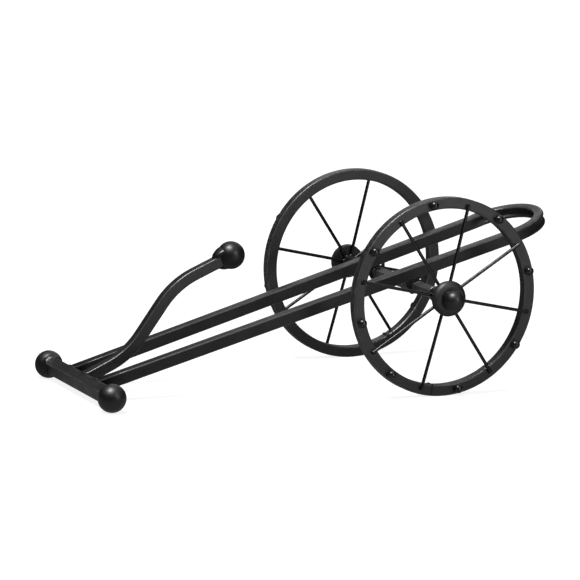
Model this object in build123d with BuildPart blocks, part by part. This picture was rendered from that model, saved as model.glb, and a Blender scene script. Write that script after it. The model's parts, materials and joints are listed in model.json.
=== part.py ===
"""Garden hose cart: a bent tube drawbar with a hose horn, on two spoked wagon wheels.

Millimetres, +Z up, +X towards the bend of the drawbar, the ground at Z = 0.
The origin is on the ground, under the middle of the whole cart.
"""
import os
from math import asin, atan2, cos, radians, sin, sqrt, tan

from build123d import *

os.makedirs("parts", exist_ok=True)

# Wheel rim: a square tube rolled into a ring
wheel_diameter = 356.0
rim_tube = 20.0
rim_wall = 1.5
rim_corner = 2.5
track_over_rims = 397.0

# Spokes: round rods welded on the outer face of the rim, set by eye and so not quite evenly
spoke_angles = (32.5, 77.0, 124.0, 168.0, 213.0, 255.0, 304.0, 348.5)
spoke_diameter = 6.0
spoke_flat = 0.4
spoke_seat_margin = 1.0

# Ball studs on the outer face of the rim, one between each two spokes
stud_angles = (14.0, 54.0, 100.5, 148.5, 193.0, 232.0, 280.0, 327.0)
stud_diameter = 16.0
stud_ball_height = 5.0
stud_shank_diameter = 8.0
stud_shank_depth = 4.0
stud_clearance = 0.1

# Hub: a barrel on the axle, a plate in front of the spokes, a domed shell and a ball
barrel_diameter = 26.0
barrel_inner_reach = 39.0
plate_diameter = 57.0
plate_thickness = 3.0
plate_clearance = 0.1
dome_wall = 2.0
dome_bulge = 1.5
dome_bulge_height = 8.0
dome_height = 18.0
dome_front_diameter = 40.0
dome_hole_diameter = 18.0
hub_ball_diameter = 36.0
hub_ball_wall = 2.0
hub_collar_diameter = 39.0
hub_collar_height = 2.0
hub_ball_seat_diameter = 33.0

# Axle: a square bar with turned ends, its washers and push nuts
axle_bar = 16.0
journal_diameter = 14.0
journal_clearance = 0.06
journal_chamfer = 1.0
journal_past_nut = 4.0
washer_diameter = 28.0
washer_thickness = 2.0
washer_clearance = 0.2
nut_diameter = 22.0
nut_thickness = 1.5
nut_dish = 1.5
nut_clearance = 0.02
end_float = 0.3

# Drawbar: one square tube bent into a long U, splayed a little towards the bend
rail_tube = 22.0
rail_wall = 1.5
rail_corner = 2.5
rail_slope = 16.44
rail_rise = 27.6
rail_half_gauge = 77.0
rail_splay = 1.33
bend_start = 210.0

# Bend: the outer wall is drawn in and hollow between its lips, and the inner wall is lower
bend_lift = 2.1
bend_outer_swell = 1.6
bend_inner_drop = 1.4
bend_flattening = 4.0
bend_hollow = 2.9
bend_outer_corner = 4.5

# Crossbar at the low end, with a ball foot on each end
crossbar_tube = 25.0
crossbar_wall = 1.5
crossbar_corner = 4.0
foot_diameter = 50.0
foot_spacing = 315.0
ball_wall = 2.0
ball_vent_diameter = 6.0
ball_seat_margin = 0.3

# Horn: an S-bent square tube that the hose hangs on, with a ball at its tip
horn_tube = 20.0
horn_wall = 1.5
horn_corner = 2.5
horn_root_angle = 25.0
horn_rise_angle = 55.0
horn_tip_angle = 24.0
horn_root_leg = 100.0
horn_rise_leg = 148.0
horn_tip_leg = 117.5
horn_bend_radius = 150.0
horn_ball_diameter = 50.0

# Hanger plates that hold the axle under the rails
hanger_thickness = 4.0
hanger_offset = 5.0
hanger_top_length = 40.0
hanger_foot_length = 28.0
hanger_below_axle = 6.0
hanger_foot_radius = 8.0
hanger_hole_diameter = 5.0

# Heights and angles that follow
wheel_radius = wheel_diameter / 2
foot_radius = foot_diameter / 2
slope = radians(rail_slope)
splay = radians(rail_splay)

# Stations along the rails, measured up the slope from above the axle
crossbar_station = (foot_radius - wheel_radius - rail_rise) / sin(slope)
gauge_at_bend = rail_half_gauge + bend_start * tan(splay)
bend_radius = gauge_at_bend / cos(splay)
bend_centre = bend_start + gauge_at_bend * tan(splay)

# The section in the middle of the bend
bend_outer_reach = rail_tube / 2 - bend_flattening
bend_outer_half = rail_tube / 2 + bend_outer_swell
bend_inner_half = rail_tube / 2 - bend_inner_drop
bend_lip = bend_outer_half - bend_outer_corner - bend_lift

# The cart's two ends, which place the axle about the middle of the cart
bend_end_station = bend_centre + bend_radius + bend_outer_reach - bend_outer_corner
head_end = bend_end_station * cos(slope) + bend_lip * sin(slope) + bend_outer_corner
tail_end = crossbar_station * cos(slope) - foot_radius
axle_x = -(head_end + tail_end) / 2
axle_z = wheel_radius

# The rail plane: X runs up the slope, Y across the cart, Z square to the rails
rail_plane = Plane(
    origin=(axle_x, 0, axle_z + rail_rise),
    x_dir=(cos(slope), 0, sin(slope)),
    z_dir=(-sin(slope), 0, cos(slope)),
)


def on_rail_plane(station, across, above=0.0):
    """The point at a station up the slope, a distance across and a height above the rail plane."""
    return rail_plane.from_local_coords(Vector(station, across, above))


def corner_reach(tube, corner):
    """How far the rounded corner of a square tube lies from the middle of the tube."""
    return tube / sqrt(2) - corner * (sqrt(2) - 1)


def tube_section(half_inner, half_outer, reach_inner, reach_outer, hollow, corner, lip):
    """A tube's outline in the current sketch: rounded corners, and lips on a hollow outer wall."""
    quarter = radians(90)
    lip_middle = Vector(reach_outer - lip, half_outer - lip)
    corner_middle = Vector(corner - reach_inner, half_inner - corner)
    between = lip_middle - corner_middle
    fall = quarter + atan2(between.Y, between.X) + asin((lip - corner) / between.length)

    def rounding(middle, radius, first, last, side):
        turns = (first, (first + last) / 2, last)
        return [(middle.X + radius * cos(t), side * (middle.Y + radius * sin(t))) for t in turns]

    with BuildLine() as outline:
        for side in (1, -1):
            lip_points = rounding(lip_middle, lip, 0.0, fall, side)
            corner_points = rounding(corner_middle, corner, fall, 2 * quarter, side)
            ThreePointArc(*lip_points)
            Line(lip_points[-1], corner_points[0])
            ThreePointArc(*corner_points)
        Line((-reach_inner, corner_middle.Y), (-reach_inner, -corner_middle.Y))
        upper = (reach_outer, lip_middle.Y)
        lower = (reach_outer, -lip_middle.Y)
        if hollow:
            Spline(upper, (reach_outer - hollow, 0), lower, tangents=((0, -1), (0, -1)))
        else:
            Line(upper, lower)
    make_face(outline.edges())


def ball_profile(radius, wall, seat_radius):
    """Half the section of a hollow ball with a flat, vented seat below, in the current sketch."""
    seat = sqrt(radius**2 - seat_radius**2)
    inner = radius - wall
    vent = ball_vent_diameter / 2
    inner_seat = sqrt(inner**2 - (seat - wall) ** 2)
    with BuildLine() as outline:
        ThreePointArc((0, radius), (radius, 0), (seat_radius, -seat))
        Polyline((seat_radius, -seat), (vent, -seat), (vent, wall - seat), (inner_seat, wall - seat))
        ThreePointArc((inner_seat, wall - seat), (inner, 0), (0, inner))
        Line((0, inner), (0, radius))
    make_face(outline.edges())


# Crossbar, first as a solid bar, to which the tubes that meet it are shaped
foot_seat_radius = corner_reach(crossbar_tube, crossbar_corner) + ball_seat_margin
foot_seat = sqrt(foot_radius**2 - foot_seat_radius**2)
crossbar_half_length = foot_spacing / 2 - foot_seat
crossbar_centre = on_rail_plane(crossbar_station, 0)
crossbar_plane = Plane(origin=crossbar_centre, x_dir=rail_plane.x_dir, z_dir=(0, -1, 0))

with BuildPart() as crossbar_blank:
    with BuildSketch(crossbar_plane):
        RectangleRounded(crossbar_tube, crossbar_tube, crossbar_corner)
    extrude(amount=crossbar_half_length, both=True)

with BuildPart() as crossbar:
    add(crossbar_blank.part)
    with BuildSketch(crossbar_plane):
        RectangleRounded(
            crossbar_tube - 2 * crossbar_wall,
            crossbar_tube - 2 * crossbar_wall,
            crossbar_corner - crossbar_wall,
        )
    extrude(amount=crossbar_half_length, both=True, mode=Mode.SUBTRACT)
crossbar.part.label = "crossbar"
export_step(crossbar.part, "parts/crossbar.step")

# Ball foot on the left end of the crossbar
foot_plane = Plane(
    origin=crossbar_centre + Vector(0, -foot_spacing / 2, 0),
    x_dir=(1, 0, 0),
    z_dir=(0, 0, -1),
)
with BuildPart() as foot_ball_left:
    with BuildSketch(foot_plane):
        ball_profile(foot_radius, ball_wall, foot_seat_radius)
    revolve(axis=Axis(foot_plane.origin, foot_plane.y_dir))
foot_ball_left.part.label = "foot_ball_left"
export_step(foot_ball_left.part, "parts/foot_ball_left.step")

# Drawbar rails: the bend's path, with its section at both ends and in the middle
bend_sections = (radians(90) + splay, 0.0, -radians(90) - splay)
bend_middle = Vector(bend_centre, 0, 0)


def bend_plane(turn):
    """The plane of the tube's section at a turn round the bend, with X pointing outwards."""
    outwards = Vector(cos(turn), -sin(turn), 0)
    forwards = Vector(sin(turn), cos(turn), 0)
    lift = Vector(0, 0, bend_lift if turn == 0.0 else 0.0)
    origin = rail_plane.from_local_coords(bend_middle + outwards * bend_radius + lift)
    x_dir = rail_plane.from_local_coords(outwards) - rail_plane.origin
    z_dir = rail_plane.from_local_coords(forwards) - rail_plane.origin
    return Plane(origin=origin, x_dir=x_dir, z_dir=z_dir)


rail_half = rail_tube / 2
rail_length = (bend_start - crossbar_station) / cos(splay)

with BuildPart() as rail_loop:
    for inset, mode in ((0.0, Mode.ADD), (rail_wall, Mode.SUBTRACT)):
        corner = rail_corner - inset
        with BuildLine():
            ThreePointArc(*[bend_plane(turn).origin for turn in bend_sections])
        for turn in bend_sections:
            with BuildSketch(bend_plane(turn)):
                if turn == 0.0:
                    tube_section(
                        bend_inner_half - inset,
                        bend_outer_half - inset,
                        rail_half - inset,
                        bend_outer_reach - inset,
                        bend_hollow,
                        corner,
                        bend_outer_corner - inset,
                    )
                else:
                    half = rail_half - inset
                    tube_section(half, half, half, half, 0.0, corner, corner)
        sweep(multisection=True, mode=mode)
    for turn, direction in ((bend_sections[0], -1), (bend_sections[2], 1)):
        with BuildSketch(bend_plane(turn)):
            RectangleRounded(rail_tube, rail_tube, rail_corner)
            inside = rail_tube - 2 * rail_wall
            RectangleRounded(inside, inside, rail_corner - rail_wall, mode=Mode.SUBTRACT)
        extrude(amount=direction * rail_length)
    add(crossbar_blank.part, mode=Mode.SUBTRACT)
rail_loop.part.label = "rail_loop"
export_step(rail_loop.part, "parts/rail_loop.step")

# Horn: its route starts in the middle of the crossbar, runs up and levels off again
horn_angles = (horn_root_angle, horn_rise_angle, horn_tip_angle)
horn_legs = (horn_root_leg, horn_rise_leg, horn_tip_leg)
horn_ball_radius = horn_ball_diameter / 2
horn_seat_radius = corner_reach(horn_tube, horn_corner) + ball_seat_margin
horn_seat = sqrt(horn_ball_radius**2 - horn_seat_radius**2)
horn_points = [crossbar_centre]
for angle, leg in zip(horn_angles, horn_legs):
    horn_way = Vector(cos(radians(angle)), 0, sin(radians(angle)))
    horn_points.append(horn_points[-1] + horn_way * leg)
horn_ball_centre = horn_points[-1]
horn_end = horn_ball_centre - horn_way * horn_seat

with BuildPart() as horn:
    with BuildLine():
        horn_path = FilletPolyline(*horn_points[:-1], horn_end, radius=horn_bend_radius)
    with BuildSketch(Plane(origin=horn_path @ 0, x_dir=(0, 1, 0), z_dir=horn_path % 0)):
        RectangleRounded(horn_tube, horn_tube, horn_corner)
        inside = horn_tube - 2 * horn_wall
        RectangleRounded(inside, inside, horn_corner - horn_wall, mode=Mode.SUBTRACT)
    sweep()
    add(crossbar_blank.part, mode=Mode.SUBTRACT)
horn.part.label = "horn"
export_step(horn.part, "parts/horn.step")

# Ball at the tip of the horn
horn_ball_plane = Plane(origin=horn_ball_centre, x_dir=(0, 1, 0), z_dir=Vector(0, 1, 0).cross(horn_way))
with BuildPart() as horn_ball:
    with BuildSketch(horn_ball_plane):
        ball_profile(horn_ball_radius, ball_wall, horn_seat_radius)
    revolve(axis=Axis(horn_ball_plane.origin, horn_ball_plane.y_dir))
horn_ball.part.label = "horn_ball"
export_step(horn_ball.part, "parts/horn_ball.step")

# Left wheel: the outer face of its rim, with X along the cart, Y up and Z outwards
track_half = track_over_rims / 2
rim_face = Plane(origin=(axle_x, -track_half, axle_z), x_dir=(1, 0, 0), z_dir=(0, -1, 0))
wheel_axis = Axis(rim_face.origin, rim_face.z_dir)

# Half sections of round pieces: X outwards from the axle, Y outwards from the rim face
wheel_section = Plane(origin=rim_face.origin, x_dir=(1, 0, 0), z_dir=(0, 0, -1))

# Distances outwards from the rim face
spoke_level = spoke_diameter / 2 - spoke_flat
plate_back = spoke_level + spoke_diameter / 2 - spoke_flat
plate_front = plate_back + plate_thickness
dome_front = plate_back + dome_height
barrel_back = -barrel_inner_reach
washer_front = barrel_back - end_float
washer_back = washer_front - washer_thickness
nut_back = plate_front + end_float
journal_end = nut_back + nut_thickness + journal_past_nut

# Radii
rim_middle_radius = wheel_radius - rim_tube / 2
barrel_radius = barrel_diameter / 2
journal_radius = journal_diameter / 2
plate_radius = plate_diameter / 2 - plate_clearance
dome_inner_radius = plate_diameter / 2
dome_back_radius = dome_inner_radius + dome_wall
stud_radius = stud_diameter / 2
stud_shank_radius = stud_shank_diameter / 2

# Rim of the left wheel, with a hole for each stud
stud_turns = [radians(angle) for angle in stud_angles]
stud_places = [(rim_middle_radius * cos(turn), rim_middle_radius * sin(turn)) for turn in stud_turns]
with BuildPart() as rim_left:
    with BuildSketch(wheel_section):
        with Locations((rim_middle_radius, -rim_tube / 2)):
            RectangleRounded(rim_tube, rim_tube, rim_corner)
            inside = rim_tube - 2 * rim_wall
            RectangleRounded(inside, inside, rim_corner - rim_wall, mode=Mode.SUBTRACT)
    revolve(axis=wheel_axis)
    with BuildSketch(rim_face):
        with Locations(*stud_places):
            Circle(stud_shank_radius + stud_clearance)
    extrude(amount=-2 * rim_wall, mode=Mode.SUBTRACT)
rim_left.part.label = "rim_left"
export_step(rim_left.part, "parts/rim_left.step")

# One ball stud, standing on the rim face at the level of the axle
stud_foot_radius = sqrt(stud_radius**2 - stud_ball_height**2)
stud_middle = rim_middle_radius
with BuildPart() as stud:
    with BuildSketch(wheel_section):
        with BuildLine():
            ThreePointArc(
                (stud_middle + stud_foot_radius, 0),
                (stud_middle + stud_radius, stud_ball_height),
                (stud_middle, stud_ball_height + stud_radius),
            )
            Polyline(
                (stud_middle, stud_ball_height + stud_radius),
                (stud_middle, -stud_shank_depth),
                (stud_middle + stud_shank_radius, -stud_shank_depth),
                (stud_middle + stud_shank_radius, 0),
                (stud_middle + stud_foot_radius, 0),
            )
        make_face()
    revolve(axis=Axis(rim_face.from_local_coords(Vector(stud_middle, 0, 0)), rim_face.z_dir))

with BuildPart() as rim_studs_left:
    for angle in stud_angles:
        add(stud.part.rotate(wheel_axis, angle))
rim_studs_left.part.label = "rim_studs_left"
export_step(rim_studs_left.part, "parts/rim_studs_left.step")

# One spoke, pressed flat where it lies on the rim and where the hub plate lies on it
rim_seat_length = rim_tube + spoke_seat_margin
hub_seat_length = dome_back_radius + dome_bulge + spoke_seat_margin
with BuildPart() as spoke:
    with BuildSketch(Plane(origin=rim_face.offset(spoke_level).origin, z_dir=(1, 0, 0))):
        Circle(spoke_diameter / 2)
    extrude(amount=rim_middle_radius)
    with BuildSketch(rim_face):
        with Locations((rim_middle_radius, 0)):
            Rectangle(2 * rim_seat_length, spoke_diameter)
    extrude(amount=-spoke_diameter, mode=Mode.SUBTRACT)
    with BuildSketch(rim_face.offset(plate_back)):
        Rectangle(2 * hub_seat_length, spoke_diameter)
    extrude(amount=spoke_diameter, mode=Mode.SUBTRACT)
    with BuildSketch(rim_face):
        Circle(barrel_radius)
    extrude(amount=spoke_diameter, both=True, mode=Mode.SUBTRACT)

with BuildPart() as spokes_left:
    for angle in spoke_angles:
        add(spoke.part.rotate(wheel_axis, angle))
spokes_left.part.label = "spokes_left"
export_step(spokes_left.part, "parts/spokes_left.step")

# Hub barrel that turns on the axle
with BuildPart() as hub_barrel_left:
    with BuildSketch(rim_face.offset(barrel_back)):
        Circle(barrel_radius)
        Circle(journal_radius + journal_clearance, mode=Mode.SUBTRACT)
    extrude(amount=plate_front - barrel_back)
hub_barrel_left.part.label = "hub_barrel_left"
export_step(hub_barrel_left.part, "parts/hub_barrel_left.step")

# Hub plate round the end of the barrel, in front of the spokes
with BuildPart() as hub_plate_left:
    with BuildSketch(rim_face.offset(plate_back)):
        Circle(plate_radius)
        Circle(barrel_radius, mode=Mode.SUBTRACT)
    extrude(amount=plate_thickness)
hub_plate_left.part.label = "hub_plate_left"
export_step(hub_plate_left.part, "parts/hub_plate_left.step")

# Domed hub shell over the plate: a bun-shaped half section of even wall
dome_front_radius = dome_front_diameter / 2
dome_bulge_radius = dome_back_radius + dome_bulge
dome_shoulder = dome_bulge_radius - dome_front_radius
dome_crown = dome_height - dome_bulge_height
bevel = sin(radians(45))
with BuildPart() as hub_dome_left:
    with BuildSketch(wheel_section):
        with BuildLine():
            for inset in (0.0, dome_wall):
                back = (dome_back_radius - inset, plate_back)
                seat = (dome_back_radius - inset, plate_front)
                widest = (dome_bulge_radius - inset, plate_back + dome_bulge_height)
                shoulder = (
                    dome_front_radius + (dome_shoulder - inset) * bevel,
                    plate_back + dome_bulge_height + (dome_crown - inset) * bevel,
                )
                crown = (dome_front_radius, dome_front - inset)
                Line(back, seat)
                Line(seat, widest)
                ThreePointArc(widest, shoulder, crown)
                Line(crown, (dome_hole_diameter / 2, dome_front - inset))
            Line((dome_back_radius, plate_back), (dome_back_radius - dome_wall, plate_back))
            Line(
                (dome_hole_diameter / 2, dome_front),
                (dome_hole_diameter / 2, dome_front - dome_wall),
            )
        make_face()
    revolve(axis=wheel_axis)
hub_dome_left.part.label = "hub_dome_left"
export_step(hub_dome_left.part, "parts/hub_dome_left.step")

# Ball on the front of the hub, with a collar under it
hub_ball_radius = hub_ball_diameter / 2
hub_ball_inner = hub_ball_radius - hub_ball_wall
hub_ball_seat_radius = hub_ball_seat_diameter / 2
hub_ball_rise = sqrt(hub_ball_radius**2 - hub_ball_seat_radius**2)
hub_ball_level = dome_front + hub_collar_height + hub_ball_rise
hub_ball_inner_rise = hub_ball_level - dome_front
hub_ball_mouth = sqrt(hub_ball_inner**2 - hub_ball_inner_rise**2)
with BuildPart() as hub_ball_left:
    with BuildSketch(wheel_section):
        with BuildLine():
            ThreePointArc(
                (0, hub_ball_level + hub_ball_radius),
                (hub_ball_radius, hub_ball_level),
                (hub_ball_seat_radius, dome_front + hub_collar_height),
            )
            Polyline(
                (hub_ball_seat_radius, dome_front + hub_collar_height),
                (hub_collar_diameter / 2, dome_front + hub_collar_height),
                (hub_collar_diameter / 2, dome_front),
                (hub_ball_mouth, dome_front),
            )
            ThreePointArc(
                (hub_ball_mouth, dome_front),
                (hub_ball_inner, hub_ball_level),
                (0, hub_ball_level + hub_ball_inner),
            )
            Line((0, hub_ball_level + hub_ball_inner), (0, hub_ball_level + hub_ball_radius))
        make_face()
    revolve(axis=wheel_axis)
hub_ball_left.part.label = "hub_ball_left"
export_step(hub_ball_left.part, "parts/hub_ball_left.step")

# Washer between the square of the axle and the barrel
with BuildPart() as washer_left:
    with BuildSketch(rim_face.offset(washer_back)):
        Circle(washer_diameter / 2)
        Circle(journal_radius + washer_clearance, mode=Mode.SUBTRACT)
    extrude(amount=washer_thickness)
washer_left.part.label = "washer_left"
export_step(washer_left.part, "parts/washer_left.step")

# Push nut that keeps the wheel on the axle, dished away from the barrel
nut_bore = journal_radius + nut_clearance
with BuildPart() as push_nut_left:
    with BuildSketch(wheel_section):
        with BuildLine():
            Polyline(
                (nut_bore, nut_back + nut_dish),
                (nut_diameter / 2, nut_back),
                (nut_diameter / 2, nut_back + nut_thickness),
                (nut_bore, nut_back + nut_dish + nut_thickness),
                close=True,
            )
        make_face()
    revolve(axis=wheel_axis)
push_nut_left.part.label = "push_nut_left"
export_step(push_nut_left.part, "parts/push_nut_left.step")

# Hanger plate under the left rail, with a square opening for the axle and a small hole above it
rail_underside = rail_rise * cos(slope) - rail_half
axle_half = axle_bar / 2
hanger_middle = rail_half_gauge + hanger_offset
hanger_plane = Plane(
    origin=(axle_x, -hanger_middle + hanger_thickness / 2, axle_z),
    x_dir=rail_plane.x_dir,
    z_dir=(0, -1, 0),
)
hanger_foot = -axle_half - hanger_below_axle
with BuildPart() as hanger_left:
    with BuildSketch(hanger_plane) as hanger_sketch:
        with BuildLine():
            Polyline(
                (-hanger_top_length / 2, rail_underside),
                (hanger_top_length / 2, rail_underside),
                (hanger_foot_length / 2, hanger_foot),
                (-hanger_foot_length / 2, hanger_foot),
                close=True,
            )
        make_face()
        fillet(hanger_sketch.vertices().group_by(Axis.Y)[0], hanger_foot_radius)
        Rectangle(axle_bar, axle_bar, mode=Mode.SUBTRACT)
        with Locations((0, (axle_half + rail_underside) / 2)):
            Circle(hanger_hole_diameter / 2, mode=Mode.SUBTRACT)
    extrude(amount=hanger_thickness)
hanger_left.part.label = "hanger_left"
export_step(hanger_left.part, "parts/hanger_left.step")

# Axle: the square bar lies along the rails' slope, with a turned journal at each end
bar_half_length = track_half + washer_back
axle_plane = Plane(origin=(axle_x, 0, axle_z), x_dir=rail_plane.x_dir, z_dir=(0, -1, 0))
with BuildPart() as axle:
    with BuildSketch(axle_plane):
        Rectangle(axle_bar, axle_bar)
    extrude(amount=bar_half_length, both=True)
    with BuildSketch(axle_plane):
        Circle(journal_radius)
    extrude(amount=track_half + journal_end, both=True)
    tips = axle.part.edges().filter_by(GeomType.CIRCLE).sort_by(Axis.Y)
    chamfer([tips[0], tips[-1]], journal_chamfer)
axle.part.label = "axle"
export_step(axle.part, "parts/axle.step")

# The right-hand pieces mirror the left-hand ones
left_pieces = (
    foot_ball_left,
    hanger_left,
    washer_left,
    push_nut_left,
    rim_left,
    rim_studs_left,
    spokes_left,
    hub_barrel_left,
    hub_plate_left,
    hub_dome_left,
    hub_ball_left,
)
for left_piece in left_pieces:
    right_name = left_piece.part.label.replace("left", "right")
    with BuildPart() as right_piece:
        mirror(left_piece.part, about=Plane.XZ)
    right_piece.part.label = right_name
    export_step(right_piece.part, f"parts/{right_name}.step")
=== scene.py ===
# %% [markdown]
# # A garden hose cart in black powder coat
# This lesson dresses the solids of a small garden cart: a long loop of bent square tube, an S-bent horn
# that the hose hangs on, and two wagon wheels with rod spokes.
# The solids already have their true shape and place, so the lesson is about what the maker's shop adds:
# weld beads, a sprayed and baked coat, bright zinc washers, and a little wear.
# Everything is in metres, with +Z up and +X towards the bend of the drawbar.

# %% Load the solids
import json
import math

import bmesh
import bpy
from mathutils import Matrix, Vector, noise


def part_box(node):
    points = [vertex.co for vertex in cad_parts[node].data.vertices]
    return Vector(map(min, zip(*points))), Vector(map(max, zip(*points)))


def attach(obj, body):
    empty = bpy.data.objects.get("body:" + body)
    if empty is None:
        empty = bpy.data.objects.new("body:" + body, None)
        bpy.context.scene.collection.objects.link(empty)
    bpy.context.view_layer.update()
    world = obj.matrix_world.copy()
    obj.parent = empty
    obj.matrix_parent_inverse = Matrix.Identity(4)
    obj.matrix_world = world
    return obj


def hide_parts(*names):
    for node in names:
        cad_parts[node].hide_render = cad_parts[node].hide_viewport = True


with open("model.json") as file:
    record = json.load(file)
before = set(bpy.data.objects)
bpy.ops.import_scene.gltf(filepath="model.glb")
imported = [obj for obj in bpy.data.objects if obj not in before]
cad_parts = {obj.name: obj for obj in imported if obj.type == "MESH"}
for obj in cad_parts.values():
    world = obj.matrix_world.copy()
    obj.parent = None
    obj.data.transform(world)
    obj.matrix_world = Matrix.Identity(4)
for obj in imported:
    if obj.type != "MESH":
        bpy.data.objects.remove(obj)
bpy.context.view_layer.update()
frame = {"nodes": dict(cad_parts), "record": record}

# %% [markdown]
# ## Camera
# The cart is seen from its left, a little from the low end, with a long lens from about six metres.
# A long lens keeps the two wheels almost the same size, as a shop's product picture does.
# The three axes of the camera are written out, because the picture also leans by a degree and a half,
# which a camera that only points at a target would lose.

# %% Camera
picture_size = 580
focal_pixels = 3230.74
camera_right = Vector((0.91168, -0.41006, 0.02641))
camera_up = Vector((0.04601, 0.16573, 0.98510))
camera_back = Vector((-0.40832, -0.89688, 0.16996))
camera_place = Vector((-2.40537, -5.20055, 1.1524))
half_pixel = 0.5 / picture_size

camera_data = bpy.data.cameras.new("cart_camera")
camera_data.sensor_width = 36.0
camera_data.lens = focal_pixels / picture_size * camera_data.sensor_width
camera_data.shift_x = -half_pixel
camera_data.shift_y = half_pixel
camera_data.clip_end = 60.0
cart_camera = bpy.data.objects.new("cart_camera", camera_data)
bpy.context.scene.collection.objects.link(cart_camera)
turn = Matrix((camera_right, camera_up, camera_back)).transposed()
cart_camera.matrix_world = Matrix.Translation(camera_place) @ turn.to_4x4()
bpy.context.scene.camera = cart_camera
print("camera: lens", round(camera_data.lens, 1), "mm")

# %% [markdown]
# ## Floor, background and light
# The cart stands on a plain white floor in front of a white background.
# A bright floor could be made with strong lamps, but those would also wash out the black coat.
# So floor and sky are simply white to the camera, and the lamps stay at a level where a colour
# looks as it is written. Close to the cart the floor glows a little less, which leaves room for its shadow.
# A black coat shows its surroundings more than its own colour, and in an evenly white box it would look grey.
# So reflections see a dim sky that grows brighter overhead, and a floor whose glow, for them only, is painted:
# dark under the cart as a painted shadow, a little lighter by the feet, and white in front of it.


# %% Node helpers
def new_tree(owner):
    """An empty node tree on a material or world, and a short way to add a node to it."""
    owner.use_nodes = True
    tree = owner.node_tree
    tree.nodes.clear()

    def add(kind, **settings):
        node = tree.nodes.new(kind)
        for name, value in settings.items():
            if name in node.inputs:
                node.inputs[name].default_value = value
            else:
                setattr(node, name, value)
        return node

    return tree, add


def spread(tree, add, value, first, last, low, high, kind="SMOOTHSTEP"):
    """A number's range from first to last, spread between low and high."""
    stretch = add("ShaderNodeMapRange", interpolation_type=kind)
    for socket, number in zip(("From Min", "From Max", "To Min", "To Max"), (first, last, low, high)):
        stretch.inputs[socket].default_value = number
    tree.links.new(value, stretch.inputs["Value"])
    return stretch.outputs[0]


def by_ray(tree, add, plain, mirrored, shown):
    """One shader as light for the cart, one for its reflections and one for the camera."""
    ray = add("ShaderNodeLightPath")
    seen = add("ShaderNodeMath", operation="MAXIMUM")
    tree.links.new(ray.outputs["Is Camera Ray"], seen.inputs[0])
    tree.links.new(ray.outputs["Is Transmission Ray"], seen.inputs[1])
    result = plain.outputs[0]
    for share, other in ((ray.outputs["Is Glossy Ray"], mirrored), (seen.outputs[0], shown)):
        mix = add("ShaderNodeMixShader")
        tree.links.new(share, mix.inputs[0])
        tree.links.new(result, mix.inputs[1])
        tree.links.new(other.outputs[0], mix.inputs[2])
        result = mix.outputs[0]
    return result


# %% White background
white = (1.0, 1.0, 1.0, 1.0)
world = bpy.data.worlds.new("studio")
bpy.context.scene.world = world
tree, add = new_tree(world)
place = add("ShaderNodeTexCoord")
height = add("ShaderNodeSeparateXYZ")
tree.links.new(place.outputs["Generated"], height.inputs[0])
ceiling = spread(tree, add, height.outputs["Z"], 0.40, 0.92, 0.02, 0.42)
ambient = add("ShaderNodeBackground", Color=white, Strength=0.22)
shown = add("ShaderNodeBackground", Color=white, Strength=1.0)
mirrored = add("ShaderNodeBackground", Color=white)
tree.links.new(ceiling, mirrored.inputs["Strength"])
sky_out = add("ShaderNodeOutputWorld")
tree.links.new(by_ray(tree, add, ambient, mirrored, shown), sky_out.inputs["Surface"])
print("background: white to the camera, a soft ceiling to reflections")

# %% Floor as the camera sees it
floor_half = 20
floor_mesh = bpy.data.meshes.new("floor")
floor_corners = [(x * floor_half, y * floor_half, 0) for x, y in ((-1, -1), (1, -1), (1, 1), (-1, 1))]
floor_mesh.from_pydata(floor_corners, [], [(0, 1, 2, 3)])
floor = bpy.data.objects.new("floor", floor_mesh)
bpy.context.scene.collection.objects.link(floor)

floor_paint = bpy.data.materials.new("floor_white")
tree, add = new_tree(floor_paint)
place = add("ShaderNodeTexCoord")
far_off = add("ShaderNodeVectorMath", operation="LENGTH")
tree.links.new(place.outputs["Object"], far_off.inputs[0])
glow = add("ShaderNodeEmission")
whiteness = spread(tree, add, far_off.outputs["Value"], 0.9, 3.2, 0.86, 1.0, "LINEAR")
tree.links.new(whiteness, glow.inputs["Strength"])
matte = add("ShaderNodeBsdfDiffuse", Color=(0.3, 0.3, 0.3, 1.0))
lit = add("ShaderNodeAddShader")
tree.links.new(matte.outputs[0], lit.inputs[0])
tree.links.new(glow.outputs[0], lit.inputs[1])
print("floor:", 2 * floor_half, "m square")

# %% Floor as reflections see it
# The floor's glow for reflections is painted light: a painted shadow under the cart, a painted pool of light
# by the feet, and white further in front.
bright = add("ShaderNodeMath", operation="MULTIPLY")
in_front, beside = ((-0.6, -1.0, 0.0), -0.15, 1.7), ((1.0, 0.0, 0.0), -0.5, 0.3)
for socket, (direction, first, last) in zip(bright.inputs, (in_front, beside)):
    away = add("ShaderNodeVectorMath", operation="DOT_PRODUCT")
    away.inputs[1].default_value = direction
    tree.links.new(place.outputs["Object"], away.inputs[0])
    reflected_light_pool = spread(tree, add, away.outputs["Value"], first, last, 0.0, 1.0, "LINEAR")
    tree.links.new(reflected_light_pool, socket)
near_feet = add("ShaderNodeVectorMath", operation="DISTANCE")
near_feet.inputs[1].default_value = (-0.42, -0.08, 0.0)
tree.links.new(place.outputs["Object"], near_feet.inputs[0])
painted_light_by_feet = spread(tree, add, near_feet.outputs["Value"], 0.1, 0.32, 0.24, 0.11)
strength = add("ShaderNodeMapRange")
tree.links.new(bright.outputs[0], strength.inputs["Value"])
tree.links.new(painted_light_by_feet, strength.inputs["To Min"])
mirrored = add("ShaderNodeEmission")
tree.links.new(strength.outputs[0], mirrored.inputs["Strength"])
print("floor in reflections: dark under the cart, white in front of it")

# %% Floor finish
pale = add("ShaderNodeBsdfDiffuse", Color=(0.6, 0.6, 0.6, 1.0))
floor_out = add("ShaderNodeOutputMaterial")
tree.links.new(by_ray(tree, add, pale, mirrored, lit), floor_out.inputs["Surface"])
floor.data.materials.append(floor_paint)
print("floor finish:", floor_paint.name)

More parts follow.
